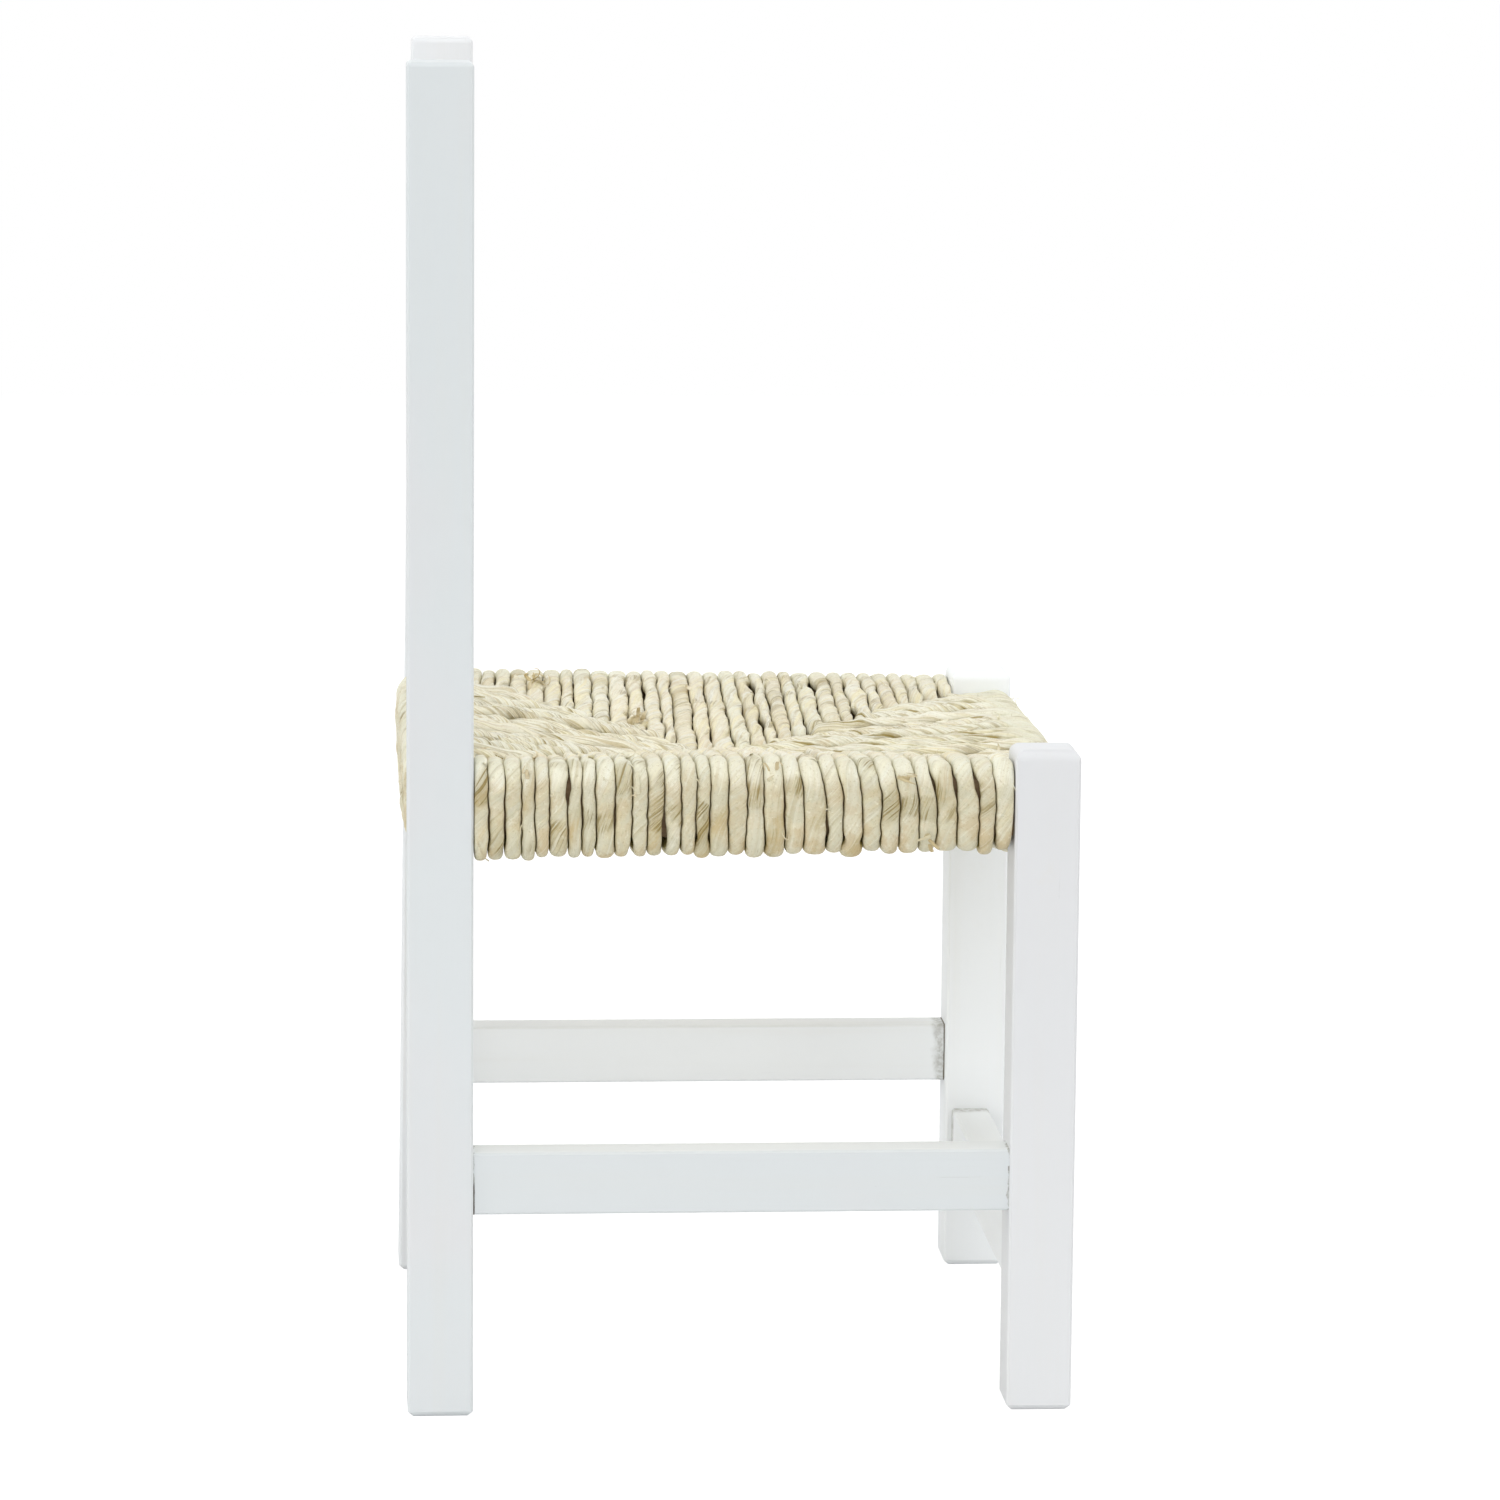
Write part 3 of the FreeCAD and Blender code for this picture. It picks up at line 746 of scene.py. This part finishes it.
def cords_mesh(name, strands):
    """One mesh of closed tubes from rings of points, with a UV layer for each name."""
    vertices, loops, totals = [], [], []
    layers = {layer: [] for layer in strands[0][1]}
    base = 0
    for points, values in strands:
        rows = len(points)
        index = base + np.arange(rows * RING_POINTS).reshape(rows, RING_POINTS)
        beside = np.roll(index, -1, axis=1)
        quads = np.stack([index[:-1], index[1:], beside[1:], beside[:-1]], axis=2)
        loops += [quads.ravel(), index[0], index[-1][::-1]]
        totals += [np.full(quads.shape[0] * RING_POINTS, 4), [RING_POINTS], [RING_POINTS]]
        for layer, value in values.items():
            left, right = value[:, :-1], value[:, 1:]
            corners = np.stack([left[:-1], left[1:], right[1:], right[:-1]], axis=2)
            layers[layer] += [corners.reshape(-1, 2), left[0], left[-1][::-1]]
        vertices.append(points.reshape(-1, 3))
        base += rows * RING_POINTS
    return filled_mesh(name, np.concatenate(vertices), np.concatenate(loops), np.concatenate(totals),
                       {layer: np.concatenate(value) for layer, value in layers.items()})


def filled_mesh(name, vertices, loops, totals, layers):
    """A smooth mesh from its points, the points of its faces in turn, and how many each face has."""
    mesh = bpy.data.meshes.new(name)
    mesh.vertices.add(len(vertices))
    mesh.vertices.foreach_set("co", vertices.astype(np.float32).ravel())
    mesh.loops.add(len(loops))
    mesh.loops.foreach_set("vertex_index", loops.astype(np.int32))
    mesh.polygons.add(len(totals))
    starts = np.concatenate([[0], np.cumsum(totals)[:-1]])
    mesh.polygons.foreach_set("loop_start", starts.astype(np.int32))
    mesh.polygons.foreach_set("use_smooth", np.ones(len(totals), bool))
    for layer, value in layers.items():
        uv = mesh.uv_layers.new(name=layer)
        uv.data.foreach_set("uv", value.astype(np.float32).ravel())
    mesh.update(calc_edges=True)
    mesh.validate()
    return mesh


class Panel:
    """One side of the seat: the strands wound round one rail, from post to post.

    start is where the seat's outer face meets the first post, along and inward are the ways along the rail
    and into the seat, and length is the way between the posts. count is the number of strands. slope is how
    fast their inner ends move in from a post, and deepest is as far as they go. lowered is how far the rail
    lies below the right one at its two ends, and gap is the narrower and the wider gap between strands.
    """

    trend = 0               # how much wider than the mean the strands past the middle are
    setback = 0             # how far short of the second post the strands stop
    skew = (0, 0)           # lean of the lines between strands at the two ends of the rail
    hang = (0, 0)           # how far the strands hang off the rail underneath at its two ends
    loose = 0               # how far the last strand swings off its post underneath
    spread = 0              # how much wider the gaps are past the middle
    hook = 0                # how far the lines past the middle bend back over the top
    rough = 0               # 0 for flattened cord and 1 for lumpy cord
    bulge = 0               # how far the strands stand off the rail all the way
    corner = CORNER_RADIUS  # radius of the bend round the rail
    last_end = 14 * MM      # the last distance along the run at which a loose end starts

    # Marks of the leaf, each a strand's number and a distance along its run
    knots = ()
    stains = ()
    curls = ()

    def __init__(self, **values):
        for name, value in values.items():
            setattr(self, name, value)

    def marks(self, kind, number):
        """The distances along one strand at which it has marks of a kind."""
        return [distance * MM for strand_number, distance in kind if strand_number == number]

    def moved(self, points):
        """Points given as (along the rail, reach, height), in the chair's frame."""
        flat = points[..., 0:1] * np.array(self.along) + points[..., 1:2] * np.array(self.inward)
        return np.concatenate([flat + np.array(self.start), points[..., 2:3]], axis=-1)


def seat_panels():
    """The depth from the seat's outer face to the inner faces of the posts, and the seat's four sides."""
    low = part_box("seat_weave_back")[0].x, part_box("seat_weave_right")[0].y
    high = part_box("seat_weave_front")[1].x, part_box("seat_weave_left")[1].y
    inner_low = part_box("back_post_right")[1]
    inner_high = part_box("front_leg_left")[0]
    side_length = inner_high.x - inner_low.x
    cross_length = inner_high.y - inner_low.y
    proud = inner_low.x - low[0]
    side_slope = (cross_length / CROSS_STRANDS) / (side_length / SIDE_STRANDS)
    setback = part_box("seat_weave_left")[0].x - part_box("seat_weave_right")[0].x
    level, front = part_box("seat_rail_right"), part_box("seat_rail_front")
    drop = level[1].z - front[1].z
    fall = level[0].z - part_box("seat_rail_left")[0].z
    side = {"length": side_length, "count": SIDE_STRANDS, "slope": side_slope,
            "deepest": (high[1] - low[1]) / 2}
    cross = {"length": cross_length, "count": CROSS_STRANDS, "slope": 1 / side_slope,
             "deepest": proud + cross_length / 2 / side_slope, "gap": NARROW_GAPS, "rough": 0.7}
    right = Panel(side="right", start=(inner_low.x, low[1]), along=(1, 0), inward=(0, 1), **side,
                  lowered=(0, 0), gap=NARROW_GAPS, trend=0.08, hang=(2.6 * MM, 0), loose=1.6 * MM,
                  spread=1.3 * MM, hook=3.2 * MM, corner=WORN_CORNER_RADIUS,
                  knots=NEAR_KNOTS, stains=NEAR_STAINS, curls=NEAR_CURLS)
    left = Panel(side="left", start=(inner_high.x, high[1]), along=(-1, 0), inward=(0, -1), **side,
                 lowered=(fall, 0), gap=WIDE_GAPS, trend=-0.03, setback=setback, skew=(-0.025, 0.05),
                 knots=FAR_KNOTS, stains=FAR_STAINS, curls=FAR_CURLS)
    front = Panel(side="front", start=(high[0], inner_low.y), along=(0, 1), inward=(-1, 0), **cross,
                  lowered=(drop, drop + fall))
    back = Panel(side="back", start=(low[0], inner_high.y), along=(0, -1), inward=(1, 0), **cross,
                 lowered=(-0.8 * MM, 0), bulge=0.8 * MM, last_end=-18 * MM)
    return proud, (right, left, front, back)


def new_object(name, data):
    """A new object in the scene."""
    made = bpy.data.objects.new(name, data)
    bpy.context.scene.collection.objects.link(made)
    return made


def build_panel(panel, proud, seed, leaf):
    """Winds one side of the seat and puts it in place of its CAD node."""
    random = np.random.default_rng(seed)
    node = "seat_weave_" + panel.side
    low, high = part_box("seat_weave_right")
    rail_low, rail_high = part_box("seat_rail_" + panel.side)
    thick = min(rail_high.x - rail_low.x, rail_high.y - rail_low.y)
    rail_inner = 2 * CORD_RADIUS + 2 * POST_GAP + thick
    lines = boundaries(random, panel)
    strands = []
    for number, (low_side, high_side) in enumerate(zip(lines[:-1], lines[1:])):
        centre = (low_side.place + high_side.place) / 2
        lowered = np.interp(centre, (0, panel.length), panel.lowered)
        run = Run(low.z, high.z, panel.corner, rail_inner, panel.deepest, lowered)
        reach = proud + min(centre, panel.length - centre) * panel.slope
        over, under = run.ends(min(reach, panel.deepest))
        ends = (over - OVERLAP, under + OVERLAP)
        points, layers = strand(random, run, ends, low_side, high_side, panel, centre, number)
        curls = panel.marks(panel.curls, number)
        loose = leaf_ends(random, points, layers, ends, curls, panel.last_end)
        for piece_points, piece_layers in [(points, layers)] + loose:
            strands.append((panel.moved(piece_points), piece_layers))
    name = "woven_" + panel.side
    piece = new_object(name, cords_mesh(name, strands))
    piece.data.materials.append(leaf)
    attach(piece, "root")
    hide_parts(node)


def build_seat():
    leaf = palm_leaf("palm_leaf", 0.12)
    rough_leaf = palm_leaf("palm_leaf_rough", 0.85)
    proud, panels = seat_panels()
    for number, panel in enumerate(panels):
        build_panel(panel, proud, FIRST_SEED + number, rough_leaf if panel.rough else leaf)


def paint_frame():
    """Gives every CAD node that shows its own finish."""
    post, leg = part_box("back_post_right"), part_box("front_leg_left")
    behind, ahead = post[1].x, leg[0].x
    right, left = post[1].y, leg[0].y
    tall, short = (0, post[1].z), (0, leg[1].z)
    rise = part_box("side_stretcher_right")[0].z + NEAR_CRACK_RISE
    near_joints = (behind, rise, NEAR_SMUDGES[0]), (ahead, CRACK_BROKEN, NEAR_SMUDGES[1])
    far_joints = (behind, CRACK_BROKEN, FAR_SMUDGES[0]), (ahead, CRACK_UNBROKEN, FAR_SMUDGES[1])
    front_joints = (right, CRACK_BROKEN, FRONT_SMUDGES[0]), (left, CRACK_BROKEN, FRONT_SMUDGES[1])
    back_joints = (right, CRACK_BROKEN, BACK_SMUDGES[0]), (left, CRACK_BROKEN, BACK_SMUDGES[1])
    # The first pair given to each paint is painted light: near pieces get greyer paint and far pieces in
    # the seat's shade whiter, most posts and legs grow greyer towards the top, and the near stretcher's
    # upper face is painted lighter
    front = white_paint("white_paint_cross_front", Y, (0.82, 0.82), shoulders=front_joints)
    back = white_paint("white_paint_cross_back", Y, (0.40, 0.50), 0.05, (right, left), back_joints)
    near = white_paint("white_paint_side_right", X, (0.20, 0.20), -0.25, shoulders=near_joints, top=0.50)
    far = white_paint("white_paint_side_left", X, (0.92, 0.92), shoulders=far_joints)
    bare_side, bare_cross = bare_wood("bare_wood_side", X), bare_wood("bare_wood_cross", Y)
    finishes = {
        "back_post_right": white_paint("white_paint_post_right", Z, (0.24, 0.02), -0.08, tall),
        "back_post_left": white_paint("white_paint_post_left", Z, (0.52, 0.40), 0.1, tall),
        "front_leg_right": white_paint("white_paint_leg_right", Z, (0.38, 0.22), 0.2, short),
        "front_leg_left": white_paint("white_paint_leg_left", Z, (0.98, 0.98), 0.0, short),
        "side_stretcher_right": near, "side_stretcher_left": far,
        "front_stretcher": front, "back_stretcher": back, "back_slat": back,
        "seat_rail_left": bare_side, "seat_rail_right": bare_side,
        "seat_rail_front": bare_cross, "seat_rail_back": bare_cross,
    }
    for name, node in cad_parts.items():
        for start, finish in finishes.items():
            if name.startswith(start):
                node.data.materials.clear()
                node.data.materials.append(finish)


def white_world():
    """Even white light, and plain white wherever the camera, a gloss or glass looks."""
    world = bpy.data.worlds.new("studio")
    bpy.context.scene.world = world
    finish = Finish(world)
    camera = finish.node("ShaderNodeLightPath", {}, {}, "Is Camera Ray")
    seen = camera.larger(camera.beside("Is Glossy Ray")).larger(camera.beside("Is Transmission Ray"))
    strength = seen * (1 - ROOM_LIGHT) + ROOM_LIGHT
    light = finish.node("ShaderNodeBackground", {}, {"Color": WHITE, "Strength": strength})
    finish.end(light, "ShaderNodeOutputWorld")


def white_floor():
    """A white floor that keeps the chair's shadow."""
    half = FLOOR_SIZE / 2
    corners = [(-half, -half, 0), (half, -half, 0), (half, half, 0), (-half, half, 0)]
    mesh = bpy.data.meshes.new("floor")
    mesh.from_pydata(corners, [], [(0, 1, 2, 3)])
    finish = Finish(bpy.data.materials.new("white_floor"))
    diffuse = finish.node("ShaderNodeBsdfDiffuse", {}, {"Color": FLOOR_COLOUR})
    glow = finish.node("ShaderNodeEmission", {}, {"Color": WHITE, "Strength": FLOOR_GLOW})
    seen = finish.node("ShaderNodeLightPath", {}, {}, "Is Camera Ray")
    both = finish.node("ShaderNodeMixShader", {}, {0: seen * FLOOR_GLOW_SHARE, 1: diffuse, 2: glow})
    mesh.materials.append(finish.end(both))
    new_object("floor", mesh)


def soft_lamp(name, place, width, height, watts):
    """A wide lamp that faces the middle of the seat."""
    light = bpy.data.lights.new(name, "AREA")
    light.shape = "RECTANGLE"
    light.size = width
    light.size_y = height
    light.energy = watts
    lamp = new_object(name, light)
    aim = Vector(SEAT_MIDDLE) - Vector(place)
    lamp.matrix_world = Matrix.Translation(place) @ aim.to_track_quat("-Z", "Y").to_matrix().to_4x4()
    lamp.visible_camera = False


def set_camera():
    data = bpy.data.cameras.new("camera")
    data.sensor_width = FRAME_WIDTH
    data.lens = CAMERA_LENS
    data.clip_end = FARTHEST_SEEN
    camera = new_object("camera", data)
    bpy.context.scene.camera = camera
    turned = Matrix.Rotation(math.radians(-CAMERA_YAW), 4, "Z")
    tipped = Matrix.Rotation(math.radians(90 - CAMERA_PITCH), 4, "X")
    rolled = Matrix.Rotation(math.radians(CAMERA_ROLL), 4, "Z")
    camera.matrix_world = Matrix.Translation(CAMERA_PLACE) @ turned @ tipped @ rolled


set_camera()
bpy.context.scene.view_settings.view_transform = "Standard"
white_world()
white_floor()
for name, lamp in LAMPS.items():
    soft_lamp(name, *lamp)
paint_frame()
build_seat()
